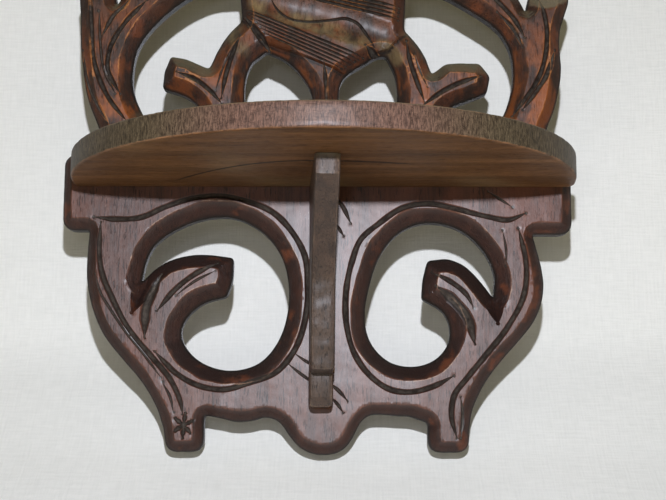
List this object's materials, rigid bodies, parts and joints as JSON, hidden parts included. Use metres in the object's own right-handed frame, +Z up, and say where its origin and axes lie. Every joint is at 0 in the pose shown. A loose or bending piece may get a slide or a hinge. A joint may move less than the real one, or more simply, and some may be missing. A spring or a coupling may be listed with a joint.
{
  "type": "folding wall shelf",
  "caption": "Carved wooden wall shelf: a pierced scrollwork back, a half-round shelf that folds up and a thin support bracket that swings out under it.",
  "frame": {"origin": "on the wall side of the back board, midway between its ears, level with the top face of the open shelf", "axes": "+X to the right seen from the front, +Y into the wall, +Z up"},
  "size_m": [0.2581, 0.1373, 0.2994],
  "materials": {
    "back_wood": "dark stained and varnished carved hardwood, glossy on the raised faces",
    "shelf_wood": "stained plain board, worn grey-brown on its edge",
    "bracket_wood": "dark stained hardwood with a satin varnish",
    "aged_brass": "rolled brass, dulled with age",
    "aged_steel": "plain steel, dulled with age"
  },
  "bodies": {
    "back": {"back_panel": "back_wood", "shelf_hinge_left_wall_leaf": "aged_brass", "shelf_hinge_left_pin": "aged_steel", "shelf_hinge_left_wall_screw_1": "aged_steel", "shelf_hinge_left_wall_screw_2": "aged_steel", "shelf_hinge_right_wall_leaf": "aged_brass", "shelf_hinge_right_pin": "aged_steel", "shelf_hinge_right_wall_screw_1": "aged_steel", "shelf_hinge_right_wall_screw_2": "aged_steel", "bracket_hinge_upper_wall_leaf": "aged_brass", "bracket_hinge_upper_pin": "aged_steel", "bracket_hinge_upper_wall_screw_1": "aged_steel", "bracket_hinge_upper_wall_screw_2": "aged_steel", "bracket_hinge_lower_wall_leaf": "aged_brass", "bracket_hinge_lower_pin": "aged_steel", "bracket_hinge_lower_wall_screw_1": "aged_steel", "bracket_hinge_lower_wall_screw_2": "aged_steel", "hanger_plate": "aged_brass", "hanger_screw_1": "aged_steel", "hanger_screw_2": "aged_steel"},
    "shelf": {"shelf_board": "shelf_wood", "shelf_hinge_left_shelf_leaf": "aged_brass", "shelf_hinge_left_shelf_screw_1": "aged_steel", "shelf_hinge_left_shelf_screw_2": "aged_steel", "shelf_hinge_right_shelf_leaf": "aged_brass", "shelf_hinge_right_shelf_screw_1": "aged_steel", "shelf_hinge_right_shelf_screw_2": "aged_steel"},
    "bracket": {"support_bracket": "bracket_wood", "bracket_hinge_upper_bracket_leaf": "aged_brass", "bracket_hinge_upper_bracket_screw_1": "aged_steel", "bracket_hinge_upper_bracket_screw_2": "aged_steel", "bracket_hinge_lower_bracket_leaf": "aged_brass", "bracket_hinge_lower_bracket_screw_1": "aged_steel", "bracket_hinge_lower_bracket_screw_2": "aged_steel"}
  },
  "joints": [
    {"name": "shelf_fold", "type": "hinge", "parent": "back", "child": "shelf", "pos_m": [0.0034, -0.013, 0.001], "axis": [-1, 0, 0], "range_deg": [0, 90]},
    {"name": "bracket_swing", "type": "hinge", "parent": "back", "child": "bracket", "pos_m": [0.00705, -0.014, -0.0643], "axis": [0, 0, 1], "range_deg": [-3, 87]}
  ]
}
